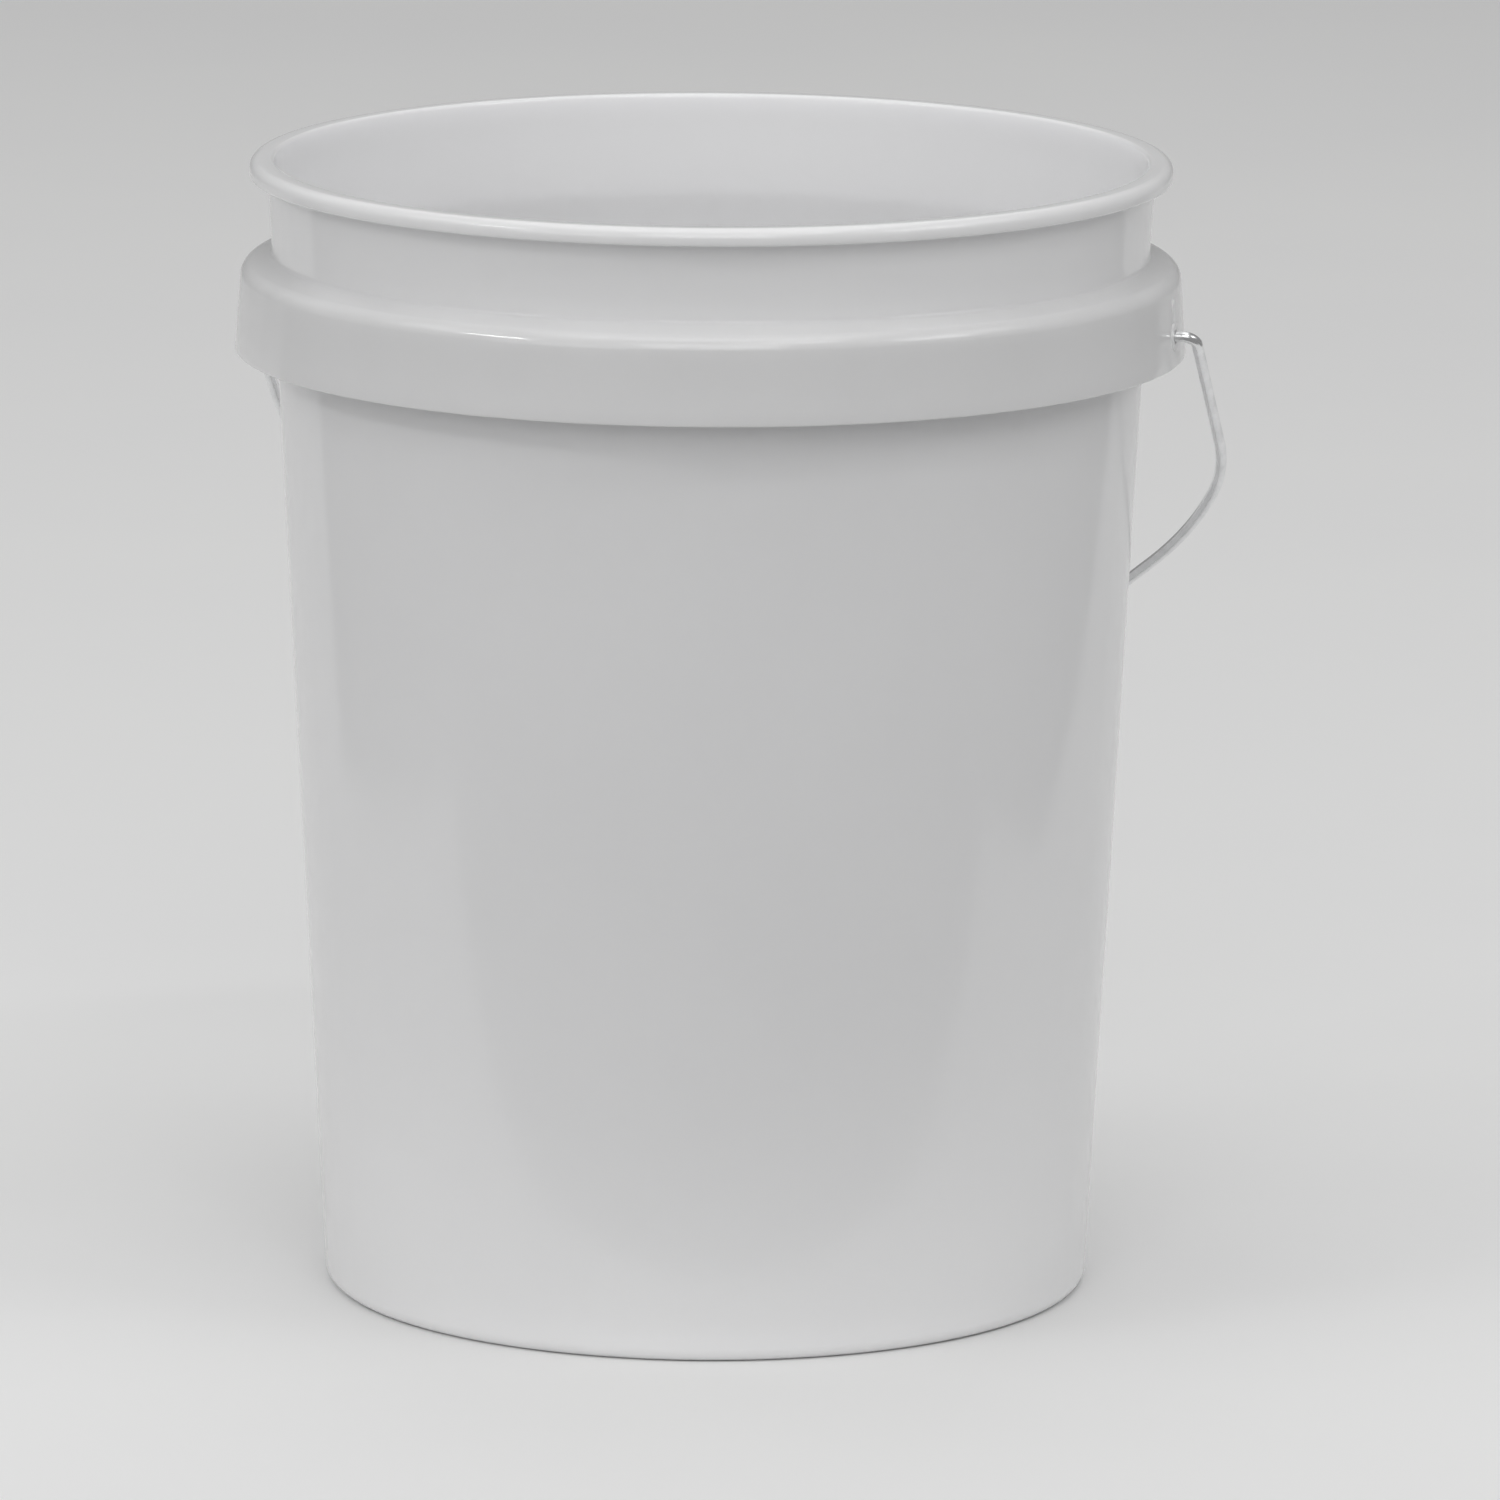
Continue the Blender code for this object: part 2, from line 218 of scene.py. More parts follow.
def pail_profile():
    """Closed outline of the cut wall as (radius, z), from the axis under the floor to the axis above it."""
    lean = math.degrees(math.atan(TAPER))
    skirt_lean = math.degrees(math.atan(SKIRT_FLARE))
    under = FOOT_RECESS
    foot_outer = corner_centre(BASE_RADIUS, CORNER_RADIUS, 0)
    foot_inner = foot_outer[0] - FOOT_WIDTH
    foot_round = 0.8 * MM
    gate_radius = 6 * MM
    gate_depth = 0.8 * MM
    gate_nub = 1.6 * MM
    nub_slope = 0.3 * MM
    nub_drop = 0.1 * MM
    ring_radius = 62 * MM
    ring_width = 2 * MM
    ring_depth = 0.3 * MM
    below = joined(
        [
            (0, under - nub_drop),
            (gate_nub, under - nub_drop),
            (gate_nub + nub_slope, under + gate_depth),
        ],
        [(gate_radius, under + gate_depth), (gate_radius + gate_depth, under)],
        [
            (ring_radius - ring_depth, under),
            (ring_radius, under + ring_depth),
            (ring_radius + ring_width, under + ring_depth),
            (ring_radius + ring_width + ring_depth, under),
        ],
        arc((foot_inner - 2 * foot_round, under - foot_round), foot_round, 90, 20, 5),
        arc((foot_inner + foot_round, foot_round), foot_round, 200, 270, 5),
        arc(foot_outer, CORNER_RADIUS, -90, -lean, 16),
        step=8 * MM,
    )

    root = shoulder_line(SHOULDER_ROUND - WALL - CAVITY_FILLET, CAVITY_FILLET * math.hypot(1, TAPER))
    fillet = shoulder_line(SHOULDER_ROUND + SHOULDER_FILLET, SHOULDER_FILLET * math.hypot(1, TAPER))
    top_angle = 90 - SHOULDER_SLOPE
    foot = skirt_radius(SKIRT_BOTTOM)
    bead_z = HEIGHT - BEAD_HEIGHT
    neck_z = bead_z - BEAD_FILLET
    bore = wall_radius(HEIGHT) - WALL
    outside = joined(
        arc(root, CAVITY_FILLET, 180 - lean, top_angle, 5),
        shoulder_arc(WALL, 10),
        arc((foot - WALL + LIP_INNER_ROUND, SKIRT_BOTTOM + LIP_INNER_ROUND), LIP_INNER_ROUND, -180, -90, 5),
        arc((foot - LIP_OUTER_ROUND, SKIRT_BOTTOM + LIP_OUTER_ROUND), LIP_OUTER_ROUND, -90, 0, 5),
        arc(shoulder_centre(), SHOULDER_ROUND, skirt_lean, top_angle, 14),
        arc(fillet, SHOULDER_FILLET, top_angle + 180, 180 - lean, 7),
        arc((wall_radius(neck_z) + BEAD_FILLET, neck_z), BEAD_FILLET, 180 - lean, 90, 5),
        arc((BEAD_RADIUS - BEAD_BOTTOM_ROUND, bead_z + BEAD_BOTTOM_ROUND), BEAD_BOTTOM_ROUND, -90, 0, 6),
        arc((BEAD_RADIUS - BEAD_TOP_ROUND, HEIGHT - BEAD_TOP_ROUND), BEAD_TOP_ROUND, 0, 90, 10),
        arc((bore + BEAD_INNER_ROUND, HEIGHT - BEAD_INNER_ROUND), BEAD_INNER_ROUND, 90, 180, 7),
        step=5 * MM,
    )

    floor_z = FOOT_RECESS + FLOOR
    inside_centre = corner_centre(BASE_RADIUS - WALL, INNER_CORNER_RADIUS, floor_z)
    valve = 40 * MM
    groove = 0.2 * MM
    inside = joined(
        arc(inside_centre, INNER_CORNER_RADIUS, -lean, -90, 14),
        [
            (valve + groove, floor_z),
            (valve, floor_z - groove),
            (valve - groove, floor_z),
        ],
        [(0, floor_z)],
        step=8 * MM,
    )
    return joined(below, outside, inside, step=8 * MM)


def linked(name, bm):
    """The scene's new object, with this mesh as it is."""
    mesh = bpy.data.meshes.new(name)
    bm.to_mesh(mesh)
    bm.free()
    obj = bpy.data.objects.new(name, mesh)
    bpy.context.scene.collection.objects.link(obj)
    return obj


def new_object(name, bm):
    """The scene's new object, with this closed mesh and its faces turned outwards."""
    bmesh.ops.recalc_face_normals(bm, faces=bm.faces)
    return linked(name, bm)


def turn(bm, profile, segments, place):
    """Turns an outline of (radius, height) once round. An open outline starts and ends on the axis."""
    rings = []
    for radius, height in profile:
        if radius == 0:
            rings.append([bm.verts.new(place(0, 0, height))])
            continue
        ring = []
        for i in range(segments):
            angle = 2 * math.pi * i / segments
            ring.append(bm.verts.new(place(radius * math.cos(angle), radius * math.sin(angle), height)))
        rings.append(ring)
    pairs = list(zip(rings, rings[1:]))
    if len(rings[0]) > 1:
        pairs.append((rings[-1], rings[0]))
    for low, high in pairs:
        for i in range(segments):
            j = (i + 1) % segments
            corners = [low[i % len(low)], low[j % len(low)], high[j % len(high)], high[i % len(high)]]
            bm.faces.new(dict.fromkeys(corners))


def prism(bm, outline, near, far):
    """Joins two copies of an outline, each placed by its own function, into a closed solid."""
    first = [bm.verts.new(near(*point)) for point in outline]
    second = [bm.verts.new(far(*point)) for point in outline]
    bm.faces.new(first)
    bm.faces.new(reversed(second))
    for i in range(len(outline)):
        j = (i + 1) % len(outline)
        bm.faces.new((first[i], first[j], second[j], second[i]))


def moulded(point):
    """Where a point of the pail lies after cooling: sunk a little over each gusset, and faintly uneven.

    The middle of the pail's floor and underside stays flat.
    """
    radius = math.hypot(point.x, point.y)
    if radius < FLAT_RADIUS:
        return point
    angle = math.atan2(point.y, point.x)
    pitch = 2 * math.pi / GUSSETS
    off_gusset = (angle % pitch - pitch / 2) * radius
    sink_fade = 8 * MM
    on_skirt = max(0.0, min(1.0, (point.z - SKIRT_BOTTOM) / sink_fade))
    on_skirt *= max(0.0, min(1.0, (SINK_TOP - point.z) / sink_fade))
    on_skirt *= max(0.0, min(1.0, (radius - SINK_INNER_RADIUS) / (3 * MM)))
    sink = SINK_DEPTH * math.exp(-((off_gusset / SINK_HALF_WIDTH) ** 2)) * on_skirt

    # Noise over the wall: a broad swell, and a finer one on it
    place = Vector((math.cos(angle), math.sin(angle), 0)) * 2.2
    uneven = noise.noise(place + Vector((0, 0, point.z * 9))) * SWELL
    fine = noise.noise(place * 5 + Vector((0, 0, point.z * 30))) * FINE_SWELL
    dent = sink + max(0.0, MEAN_SHRINKAGE + uneven + fine)
    return Vector((point.x * (1 - dent / radius), point.y * (1 - dent / radius), point.z))


def gusset_plates(bm):
    deep = WALL / 2
    top = shoulder_line(SHOULDER_ROUND - deep, -deep)
    outline = [(wall_radius(GUSSET_BOTTOM) - deep, GUSSET_BOTTOM), top]
    outline += shoulder_arc(deep, 6)
    outline.append((skirt_radius(GUSSET_BOTTOM) - deep, GUSSET_BOTTOM))
    for i in range(GUSSETS):
        angle = 2 * math.pi * (i + 0.5) / GUSSETS
        along = Vector((math.cos(angle), math.sin(angle), 0))
        aside = Vector((-math.sin(angle), math.cos(angle), 0)) * GUSSET_THICKNESS / 2

        def near(radius, z):
            return along * radius + aside + Vector((0, 0, z))

        def far(radius, z):
            return along * radius - aside + Vector((0, 0, z))

        prism(bm, outline, near, far)


def ear_bosses(bm):
    face = skirt_radius(PIVOT.z) + EAR_HEIGHT
    edge = arc((EAR_RADIUS - EAR_ROUND, face - EAR_ROUND), EAR_ROUND, 0, 90, 5)
    draft = 0.25 * MM
    profile = [(0, EAR_ROOT), (EAR_RADIUS + draft, EAR_ROOT), *edge, (0, face)]
    for side in (1, -1):
        turn(bm, profile, 48, lambda y, z, x: (side * x, y, PIVOT.z + z))


def ear_ribs(bm):
    """Upright rib from each pivot hole to the shoulder, with a rounded top and softened edges."""
    # Height of each layer over the skirt, and how far its edge is drawn in
    layers = [
        (0, 0),
        (0.75 * EAR_RIB_HEIGHT, 0),
        (0.94 * EAR_RIB_HEIGHT, 0.12 * MM),
        (EAR_RIB_HEIGHT, 0.35 * MM),
    ]
    top_centre = (0, EAR_RIB_TOP - EAR_RIB_WIDTH / 2)
    for side in (1, -1):
        rings = []
        for height, inset in layers:
            half = EAR_RIB_WIDTH / 2 - inset
            outline = [(half, PIVOT.z), *arc(top_centre, half, 0, 180, 14), (-half, PIVOT.z)]
            ring = []
            for y, z in outline:
                x = skirt_radius(z) + height if height else EAR_ROOT
                ring.append(bm.verts.new((side * x, y, z)))
            rings.append(ring)
        bm.faces.new(rings[0])
        bm.faces.new(rings[-1])
        for low, high in zip(rings, rings[1:]):
            for i in range(len(low)):
                j = (i + 1) % len(low)
                bm.faces.new((low[i], low[j], high[j], high[i]))


def pivot_drill(bm):
    """The shape to cut out for both pivot holes, each with a slightly flared mouth."""
    mouth = skirt_radius(PIVOT.z) + EAR_HEIGHT
    radius = PIVOT_HOLE_RADIUS
    flare = 0.3 * MM
    proud = 0.05 * MM
    profile = [
        (0, TAIL_X),
        (radius, TAIL_X),
        (radius, mouth - flare),
        (radius + flare, mouth + proud),
        (radius + flare, BAIL_HALF_WIDTH),
        (0, BAIL_HALF_WIDTH),
    ]
    for side in (1, -1):
        turn(bm, profile, 32, lambda y, z, x: (side * x, y, PIVOT.z + z))


def combine(obj, shapes, operation):
    """Joins shapes to a mesh, or cuts them out of it, and removes the helpers."""
    helpers = []
    for shape in shapes:
        bm = bmesh.new()
        shape(bm)
        helper = new_object(shape.__name__, bm)
        modifier = obj.modifiers.new(helper.name, "BOOLEAN")
        modifier.object = helper
        modifier.operation = operation
        modifier.solver = "MANIFOLD"
        helpers.append(helper)
    graph = bpy.context.evaluated_depsgraph_get()
    mesh = bpy.data.meshes.new_from_object(obj.evaluated_get(graph))
    obj.modifiers.clear()
    old = obj.data
    obj.data = mesh
    bpy.data.meshes.remove(old)
    for helper in helpers:
        bpy.data.objects.remove(helper)


def smooth(obj, angle):
    for polygon in obj.data.polygons:
        polygon.use_smooth = True
    obj.data.set_sharp_from_angle(angle=math.radians(angle))


def wire_path():
    """Half of the bail's centreline as (x, distance below the pivots), from the hooked tail to the middle."""
    crook_centre = (BAIL_HALF_WIDTH - CROOK_RADIUS, LEG_LENGTH)
    turned = math.radians(CROOK_ANGLE)
    inward = BOW_RADIUS - CROOK_RADIUS
    bow_centre = (
        crook_centre[0] - inward * math.cos(turned),
        crook_centre[1] - inward * math.sin(turned),
    )
    bow = arc(bow_centre, BOW_RADIUS, CROOK_ANGLE, BOW_ANGLE, 12)
    lean = math.radians(BOW_ANGLE)
    side_end_x = SEAT_HALF_LENGTH + SEAT_BEND_RADIUS * math.cos(lean)
    side_end_depth = bow[-1][1] + (bow[-1][0] - side_end_x) / math.tan(lean)
    seat_centre = (SEAT_HALF_LENGTH, side_end_depth - SEAT_BEND_RADIUS * math.sin(lean))
    tail_centre = (TAIL_X + TAIL_BEND_RADIUS, TAIL_BEND_RADIUS)
    eye_centre = (BAIL_HALF_WIDTH - EYE_BEND_RADIUS, EYE_BEND_RADIUS)
    return joined(
        [(TAIL_X, TAIL_LENGTH)],
        arc(tail_centre, TAIL_BEND_RADIUS, 180, 270, 12),
        arc(eye_centre, EYE_BEND_RADIUS, -90, 0, 16),
        arc(crook_centre, CROOK_RADIUS, 0, CROOK_ANGLE, 14),
        bow[1:],
        arc(seat_centre, SEAT_BEND_RADIUS, BOW_ANGLE, 90, 16),
        step=6 * MM,
    )


def bail_wire():
    """Sweeps the wire's circle along the whole centreline, with rounded cut ends."""
    sides = 28
    half = wire_path()
    path = [Vector((x, 0, -depth)) for x, depth in half]
    path += [Vector((-x, 0, -depth)) for x, depth in reversed(half)]
    bm = bmesh.new()
    rings = []

    def ring_at(point, along, radius, stretch=1.0):
        aside = Vector((along.z, 0, -along.x)) * stretch
        ring = []
        for k in range(sides):
            angle = 2 * math.pi * k / sides
            offset = aside * math.cos(angle) + Vector((0, math.sin(angle), 0))
            ring.append(bm.verts.new(point + offset * radius))
        rings.append(ring)

    chamfer = 0.4 * MM
    start = (path[1] - path[0]).normalized()
    end = (path[-1] - path[-2]).normalized()
    ring_at(path[0], start, WIRE_RADIUS - chamfer)
    ring_at(path[0] + start * chamfer, start, WIRE_RADIUS)
    for i in range(1, len(path) - 1):
        before = (path[i] - path[i - 1]).normalized()
        after = (path[i + 1] - path[i]).normalized()
        along = (before + after).normalized()
        ring_at(path[i], along, WIRE_RADIUS, 1 / before.dot(along))
    ring_at(path[-1] - end * chamfer, end, WIRE_RADIUS)
    ring_at(path[-1], end, WIRE_RADIUS - chamfer)
    for low, high in zip(rings, rings[1:]):
        for k in range(sides):
            j = (k + 1) % sides
            bm.faces.new((low[k], low[j], high[j], high[k]))
    bm.faces.new(rings[0])
    bm.faces.new(rings[-1])
    return new_object("bail_wire", bm)


def grip_shape():
    """Moulded grip: a barrel with ring grooves between two rolled collars, and a cup in each end."""
    end = GRIP_HALF_LENGTH
    cup_radius = 8.6 * MM
    cup_depth = 5 * MM
    collar = end - 5 * MM
    collar_round = 1.5 * MM
    collar_edge = 0.7 * MM
    waist = 10.4 * MM
    middle = 11.2 * MM
    groove_pitch = 6 * MM
    groove_half = 1.1 * MM
    groove_depth = 0.5 * MM
    hub_radius = 4.2 * MM
    hub_height = 2 * MM
    hub_fillet = 0.6 * MM
    cup_fillet = 0.8 * MM
    cup_rim = 0.5 * MM
    play = 0.3 * MM
    hub = end - cup_depth
    half = joined(
        [(GRIP_BORE_RADIUS + play, hub + hub_height), (hub_radius, hub + hub_height)],
        arc((hub_radius + hub_fillet, hub + hub_fillet), hub_fillet, 180, 270, 4),
        arc((cup_radius - cup_fillet, hub + cup_fillet), cup_fillet, -90, 0, 5),
        arc((cup_radius + cup_rim, end - cup_rim), cup_rim, 180, 90, 5),
        arc((GRIP_RADIUS - collar_round, end - collar_round), collar_round, 90, 0, 8),
        arc((GRIP_RADIUS - collar_edge, collar + 0.2 * MM), collar_edge, 0, -60, 5),
        step=3 * MM,
    )
    half.append((waist, collar - 1.8 * MM))
    along = collar - 4 * MM
    while along > groove_pitch / 2:
        level = waist + (middle - waist) * math.cos(math.pi / 2 * along / collar)
        for i in range(7):
            turn_of = math.pi * i / 6
            depth = groove_depth * math.sin(turn_of) ** 2
            half.append((level - depth, along + groove_half * math.cos(turn_of)))
        along -= groove_pitch
    half.append((middle, 0.4 * MM))
    profile = half + [(radius, -along) for radius, along in reversed(half)]
    bm = bmesh.new()
    turn(bm, profile, 96, lambda y, z, x: (x, y, z))
    return new_object("grip_moulding", bm)


def tilted(obj, centre):
    """Puts an object made about the origin, hanging straight down, where the resting bail holds it."""
    down = GRIP_CENTRE - PIVOT
    tilt = math.atan2(down.y, -down.z)
    obj.data.transform(Matrix.Translation(centre) @ Matrix.Rotation(tilt, 4, "X"))


def new_material(name):
    material = bpy.data.materials.new(name)
    material.use_nodes = True
    tree = material.node_tree
    return material, tree, tree.nodes["Principled BSDF"]


def node(tree, kind, **settings):
    made = tree.nodes.new(kind)
    for key, value in settings.items():
        if key in made.inputs:
            made.inputs[key].default_value = value
        else:
            setattr(made, key, value)
    return made


def coordinates(tree, scale):
    """Object coordinates in metres, multiplied along each axis."""
    source = node(tree, "ShaderNodeTexCoord")
    mapping = node(tree, "ShaderNodeMapping", Scale=scale)
    tree.links.new(source.outputs["Object"], mapping.inputs["Vector"])
    return mapping.outputs["Vector"]


def noise_texture(tree, scale, detail=3.0, rough=0.5, stretch=(1, 1, 1)):
    made = node(tree, "ShaderNodeTexNoise", Scale=scale, Detail=detail, Roughness=rough)
    tree.links.new(coordinates(tree, stretch), made.inputs["Vector"])
    return made.outputs["Fac"]


def ramp(tree, source, low, high, start=0.0, end=1.0):
    """Maps start..end of a value onto low..high, clamped."""
    made = node(tree, "ShaderNodeMapRange")
    for socket, value in zip(("From Min", "From Max", "To Min", "To Max"), (start, end, low, high)):
        made.inputs[socket].default_value = value
    tree.links.new(source, made.inputs["Value"])
    return made.outputs["Result"]


def mixed(tree, factor, first, second):
    """Mixes two colours, each given as numbers or as a socket."""
    made = node(tree, "ShaderNodeMix", data_type="RGBA")
    for socket, value in zip(made.inputs[MIX_COLOURS], (first, second)):
        if isinstance(value, tuple):
            socket.default_value = (*value, 1)
        else:
            tree.links.new(value, socket)
    tree.links.new(factor, made.inputs[0])
    return made.outputs[MIX_RESULT]


def math_node(tree, operation, first, second):
    made = node(tree, "ShaderNodeMath", operation=operation)
    for socket, value in zip(made.inputs, (first, second)):
        if isinstance(value, (int, float)):
            socket.default_value = value
        else:
            tree.links.new(value, socket)
    return made.outputs[0]


def bump(tree, height, distance, strength=1.0, normal=None):
    made = node(tree, "ShaderNodeBump", Strength=strength, Distance=distance)
    tree.links.new(height, made.inputs["Height"])
    if normal:
        tree.links.new(normal, made.inputs["Normal"])
    return made.outputs["Normal"]


def polyethylene():
    """White moulded polyethylene: glossy, slightly cloudy, with rubbed edges, scratches and a few specks, its
    inside painted lighter and a little bluer as painted light.
    """
    material, tree, shader = new_material("white_polyethylene")
    cloud = ramp(tree, noise_texture(tree, 14, 4), 0, 1, 0.3, 0.7)
    outer = mixed(tree, cloud, (0.84, 0.84, 0.845), (0.86, 0.86, 0.865))
    # Painted light: the inside of the wall is painted lighter and a little bluer than the outside, standing
    # in for the light inside the pail
    place = node(tree, "ShaderNodeSeparateXYZ")
    tree.links.new(coordinates(tree, (1, 1, 1)), place.inputs["Vector"])
    across = math_node(tree, "MULTIPLY", place.outputs["X"], place.outputs["X"])
    along = math_node(tree, "MULTIPLY", place.outputs["Y"], place.outputs["Y"])
    radius = math_node(tree, "SQRT", math_node(tree, "ADD", across, along), 0)
    at_base = math_node(tree, "SUBTRACT", radius, math_node(tree, "MULTIPLY", place.outputs["Z"], TAPER))
    painted_inside_light = ramp(tree, at_base, 1, 0, BASE_RADIUS - 0.8 * WALL, BASE_RADIUS - 0.2 * WALL)
    colour = mixed(tree, painted_inside_light, outer, (0.89, 0.89, 0.90))

    speck = node(tree, "ShaderNodeTexVoronoi", Scale=60, Randomness=1.0)
    tree.links.new(coordinates(tree, (1, 1, 1)), speck.inputs["Vector"])
    sparse = ramp(tree, noise_texture(tree, 45, 1), 0, 1, 0.70, 0.72)
    tiny = ramp(tree, speck.outputs["Distance"], 1, 0, 0.028, 0.04)
    dust = math_node(tree, "MULTIPLY", sparse, tiny)
    colour = mixed(tree, math_node(tree, "MULTIPLY", dust, 0.7), colour, (0.24, 0.22, 0.20))

    scuffs = ramp(tree, noise_texture(tree, 22, 6, 0.7, (1, 1, 5)), 0, 1, 0.56, 0.75)
    geometry = node(tree, "ShaderNodeNewGeometry")
    worn = ramp(tree, geometry.outputs["Pointiness"], 0, 1, 0.52, 0.62)
    rubbed = math_node(tree, "MULTIPLY", scuffs, worn)
    colour = mixed(tree, math_node(tree, "MULTIPLY", rubbed, 0.25), colour, (0.83, 0.83, 0.82))
    tree.links.new(colour, shader.inputs["Base Color"])

    hazy = ramp(tree, noise_texture(tree, 9, 5, 0.6), 0.09, 0.14, 0.35, 0.65)
    dull = math_node(tree, "ADD", hazy, math_node(tree, "MULTIPLY", rubbed, 0.25))
    tree.links.new(dull, shader.inputs["Roughness"])

    scratches = noise_texture(tree, 160, 2, 0.5, (1, 1, 0.05))
    peel = noise_texture(tree, 260, 2)
    normal = bump(tree, scratches, 0.004 * MM)
    normal = bump(tree, peel, 0.006 * MM, normal=normal)
    tree.links.new(normal, shader.inputs["Normal"])
    shader.inputs["IOR"].default_value = 1.53
    shader.inputs["Subsurface Weight"].default_value = 1.0
    shader.inputs["Subsurface Radius"].default_value = (1.0, 1.0, 1.0)
    shader.inputs["Subsurface Scale"].default_value = 5 * MM
    return material


def galvanised_wire():
    """Bright zinc-coated steel wire, faintly mottled, with drawing lines along it."""
    material, tree, shader = new_material("galvanised_wire")
    mottle = noise_texture(tree, 180, 4, 0.6)
    colour = mixed(tree, ramp(tree, mottle, 0, 1, 0.35, 0.7), (0.88, 0.885, 0.89), (0.76, 0.765, 0.77))
    tree.links.new(colour, shader.inputs["Base Color"])
    tree.links.new(ramp(tree, mottle, 0.16, 0.26, 0.3, 0.7), shader.inputs["Roughness"])
    lines = noise_texture(tree, 700, 2, 0.5, (0.1, 1, 0.1))
    tree.links.new(bump(tree, lines, 0.003 * MM), shader.inputs["Normal"])
    shader.inputs["Metallic"].default_value = 1
    return material


def grip_plastic():
    """White plastic with a fine matt texture, dulled by handling."""
    material, tree, shader = new_material("grip_plastic")
    cloud = ramp(tree, noise_texture(tree, 60, 4), 0, 1, 0.3, 0.7)
    handled = ramp(tree, noise_texture(tree, 25, 5, 0.65), 0, 1, 0.45, 0.75)
    colour = mixed(tree, cloud, (0.78, 0.78, 0.775), (0.82, 0.82, 0.815))
    colour = mixed(tree, math_node(tree, "MULTIPLY", handled, 0.35), colour, (0.70, 0.69, 0.67))
    tree.links.new(colour, shader.inputs["Base Color"])
    tree.links.new(ramp(tree, handled, 0.34, 0.48), shader.inputs["Roughness"])
    grain = noise_texture(tree, 1500, 2)
    tree.links.new(bump(tree, grain, 0.02 * MM), shader.inputs["Normal"])
    shader.inputs["IOR"].default_value = 1.5
    shader.inputs["Subsurface Weight"].default_value = 0.15
    shader.inputs["Subsurface Scale"].default_value = 2 * MM
    return material


def build_pail():
    bm = bmesh.new()
    turn(bm, pail_profile(), PAIL_SEGMENTS, lambda x, y, z: moulded(Vector((x, y, z))))
    pail = new_object("pail_moulding", bm)
    combine(pail, [gusset_plates, ear_bosses, ear_ribs], "UNION")
    combine(pail, [pivot_drill], "DIFFERENCE")
    smooth(pail, 40)
    pail.data.materials.clear()
    pail.data.materials.append(polyethylene())
    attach(pail, "pail")
    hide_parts("pail")


def build_bail():
    wire = bail_wire()
    tilted(wire, PIVOT + Vector((BAIL_SHIFT, 0, 0)))
    smooth(wire, 40)
    wire.data.materials.append(galvanised_wire())
    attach(wire, "bail")
    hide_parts("bail")

    grip = grip_shape()
    tilted(grip, GRIP_CENTRE)
    smooth(grip, 40)
    grip.data.materials.append(grip_plastic())
    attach(grip, "grip")
    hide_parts("grip")


def stage_mesh(name, corners):
    """A flat staged polygon, its corners given in the studio's frame."""
    bm = bmesh.new()
    bm.faces.new([bm.verts.new(STUDIO @ Vector(corner)) for corner in corners])
    obj = linked(name, bm)
    return obj


def floor_material():
    material, tree, shader = new_material("paper")
    paper = noise_texture(tree, 3, 4)
    colour = mixed(tree, ramp(tree, paper, 0, 1, 0.3, 0.7), (0.88, 0.88, 0.88), (0.895, 0.895, 0.89))
    tree.links.new(colour, shader.inputs["Base Color"])
    shader.inputs["Roughness"].default_value = 0.9
    shader.inputs["Specular IOR Level"].default_value = 0.1
    return material


def build_floor():
    far = FLOOR_HALF_WIDTH
    floor = stage_mesh("floor", [(-far, -far, 0), (far, -far, 0), (far, far, 0), (-far, far, 0)])
    floor.data.materials.append(floor_material())


def build_dark_room():
    """Three dim cards just above the floor, which stand for the dark room round the paper.

    The camera doesn't see them, they cast no shadow, and from below they are clear, so the floor stays
    whole in every view. The pail reflects them, and they dim the light that it gets from below.
    """
    material = bpy.data.materials.new("dark_room")
    material.use_nodes = True
    tree = material.node_tree
    tree.nodes.clear()
    glow = tree.nodes.new("ShaderNodeEmission")
    glow.inputs["Color"].default_value = (CARD_GREY, CARD_GREY, CARD_GREY, 1)
    clear = tree.nodes.new("ShaderNodeBsdfTransparent")
    geometry = tree.nodes.new("ShaderNodeNewGeometry")
    one_sided = tree.nodes.new("ShaderNodeMixShader")
    tree.links.new(geometry.outputs["Backfacing"], one_sided.inputs[0])
    tree.links.new(glow.outputs[0], one_sided.inputs[1])
    tree.links.new(clear.outputs[0], one_sided.inputs[2])
    output = tree.nodes.new("ShaderNodeOutputMaterial")
    tree.links.new(one_sided.outputs[0], output.inputs[0])
    # Where the floor turns dark, read from the reflections in the photographed wall
    left_edge = [(-0.73, -0.25), (-0.72, 0.35), (-1.25, 0.85), (-3.2, 2.2)]
    right_edge = [(0.70, -0.16), (0.66, 0.1), (1.10, 0.95), (2.4, 2.8)]
    far = CARD_HALF_WIDTH
    outlines = {
        "dark_front": [(-far, -far), (far, -far), right_edge[0], left_edge[0]],
        "dark_left": [(-far, -far), *left_edge, (-far, left_edge[-1][1])],
        "dark_right": [(far, -far), (far, right_edge[-1][1]), *reversed(right_edge)],
    }
    for name, outline in outlines.items():
        card = stage_mesh(name, [(x, y, CARD_LIFT) for x, y in outline])
        card.data.materials.append(material)
        card.visible_camera = False
        card.visible_shadow = False
        card.visible_transmission = False
        card.visible_volume_scatter = False


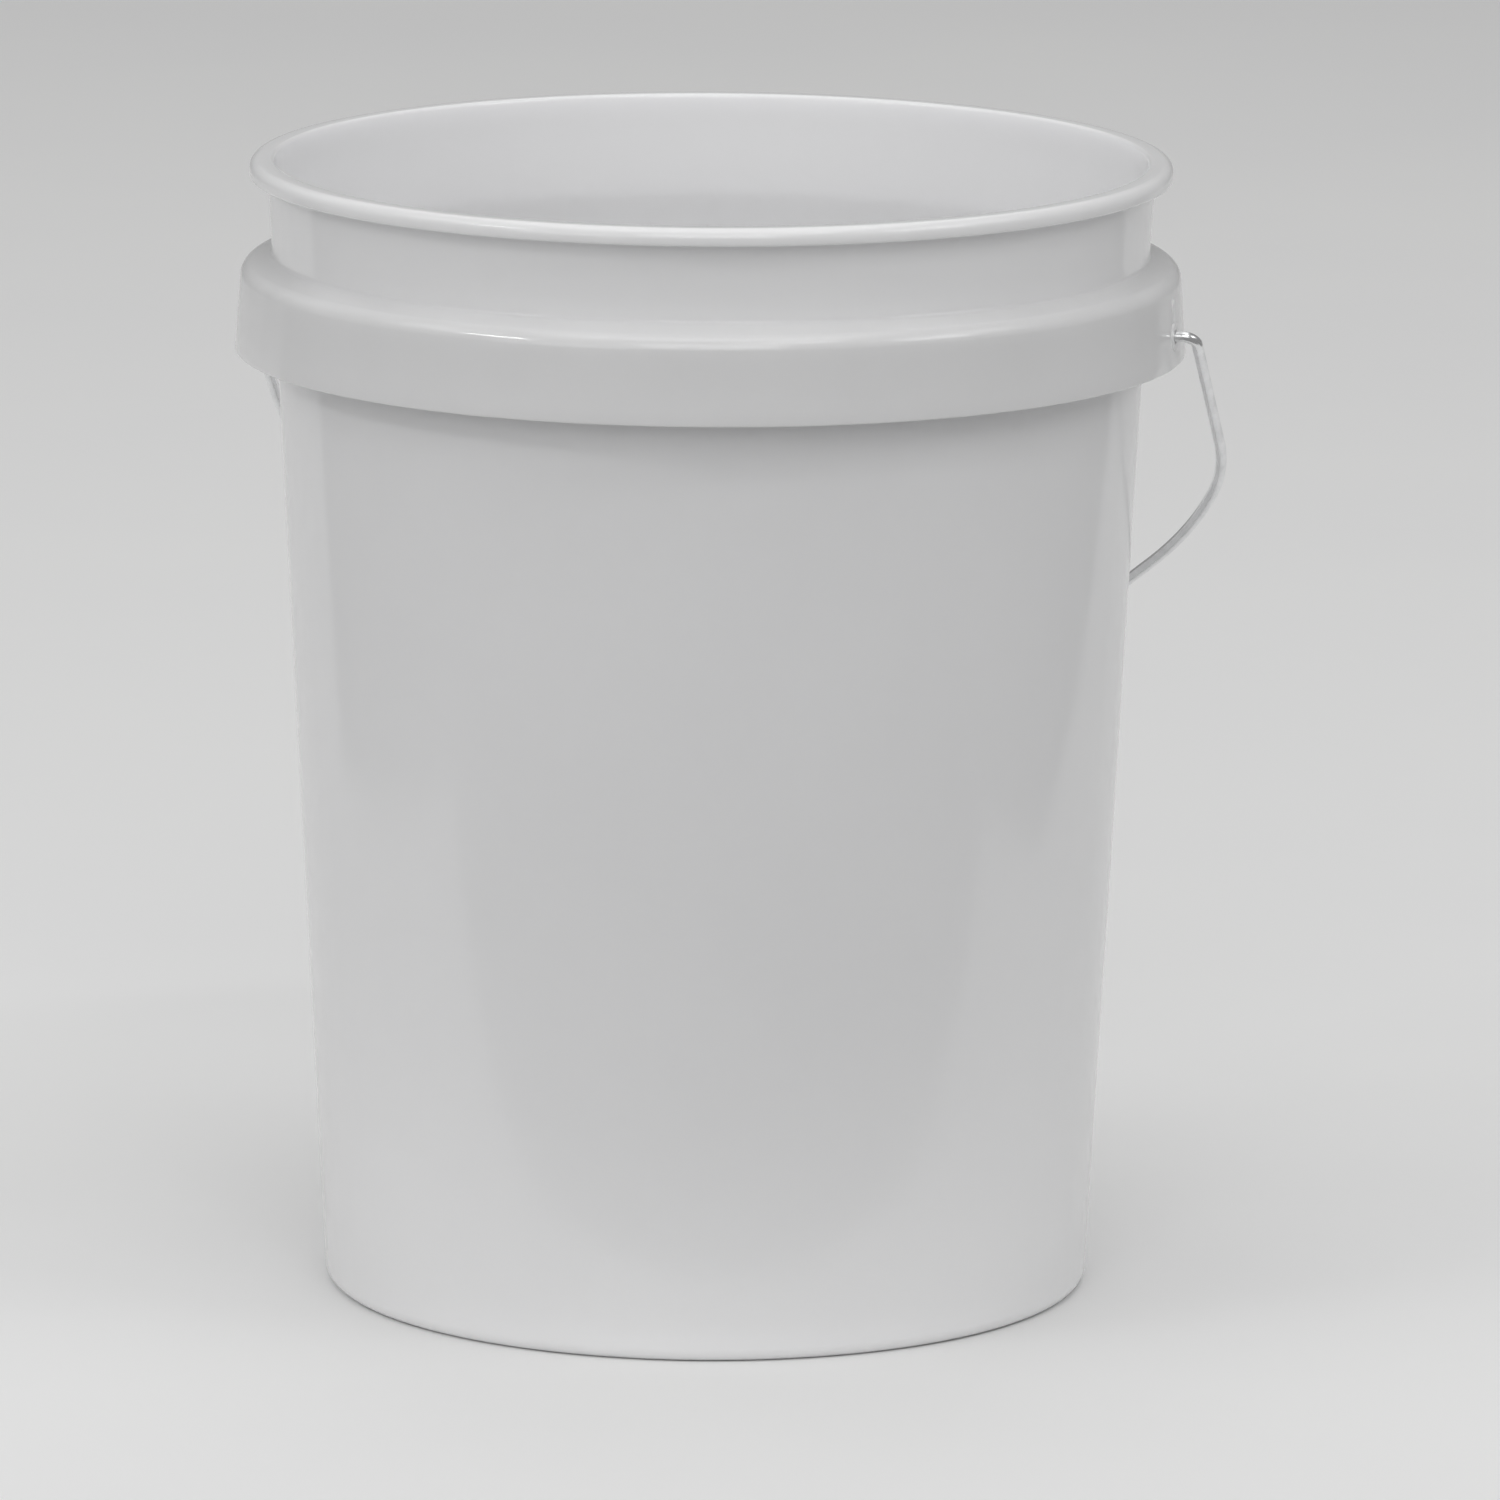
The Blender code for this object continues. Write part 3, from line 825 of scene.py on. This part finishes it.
def area_light(name, direction, elevation, distance, size, power):
    """A rectangular soft light aimed at the middle of the pail, in metres and watts.

    Its direction is in degrees from the camera's side, to the right.
    """
    aim = Vector((0, 0, HEIGHT / 2))
    azimuth = math.radians(direction)
    rise = math.radians(elevation)
    level = math.cos(rise)
    away = Vector((math.sin(azimuth) * level, -math.cos(azimuth) * level, math.sin(rise)))
    data = bpy.data.lights.new(name, "AREA")
    data.shape = "RECTANGLE"
    data.size, data.size_y = size
    data.energy = power
    light = bpy.data.objects.new(name, data)
    place = STUDIO @ (aim + away * distance)
    facing = (STUDIO.to_3x3() @ away).to_track_quat("Z", "Y")
    light.matrix_world = Matrix.Translation(place) @ facing.to_matrix().to_4x4()
    bpy.context.scene.collection.objects.link(light)


def build_lights():
    """The room's lights. Their powers come from a fit to the photograph's tones, then adjusted."""
    area_light("left_key", -58, 34, 4, (1.0, 0.14), 13)
    area_light("right_key", 24, 52, 4, (1.34, 0.12), 7.5)
    area_light("left_side", -80, 40, 4, (1.6, 1.6), 8.3)
    area_light("right_side", 60, 35, 4, (1.2, 1.2), 11.5)
    area_light("right_fill", 80, 40, 4, (1.6, 1.6), 7.9)
    area_light("front_left", -35, 15, 4.6, (2.6, 1.8), 13.9)
    area_light("front", 0, 30, 4.6, (2.6, 2.6), 40.5)
    area_light("ceiling", 0, 88, 5, (4, 4), 56)
    area_light("back", 180, 50, 4, (2.6, 2.6), 15)
    area_light("back_left", -130, 35, 4, (1.6, 1.6), 2.4)
    world = bpy.data.worlds.new("room")
    world.use_nodes = True
    background = world.node_tree.nodes["Background"]
    background.inputs["Color"].default_value = (1, 1, 1, 1)
    background.inputs["Strength"].default_value = ROOM_LIGHT
    bpy.context.scene.world = world


def build_camera():
    data = bpy.data.cameras.new("camera")
    data.lens = LENS
    data.sensor_width = SENSOR_WIDTH
    data.clip_end = CLIP_END
    camera = bpy.data.objects.new("camera", data)
    turn_to = Matrix.Rotation(math.radians(-CAMERA_YAW), 4, "Z")
    turn_to @= Matrix.Rotation(math.radians(90 - CAMERA_PITCH), 4, "X")
    turn_to @= Matrix.Rotation(math.radians(CAMERA_ROLL), 4, "Z")
    camera.matrix_world = STUDIO @ Matrix.Translation((0, -CAMERA_DISTANCE, CAMERA_HEIGHT)) @ turn_to
    bpy.context.scene.collection.objects.link(camera)
    bpy.context.scene.camera = camera


build_pail()
build_bail()
build_floor()
build_dark_room()
build_lights()
build_camera()
bpy.context.scene.view_settings.view_transform = "Standard"
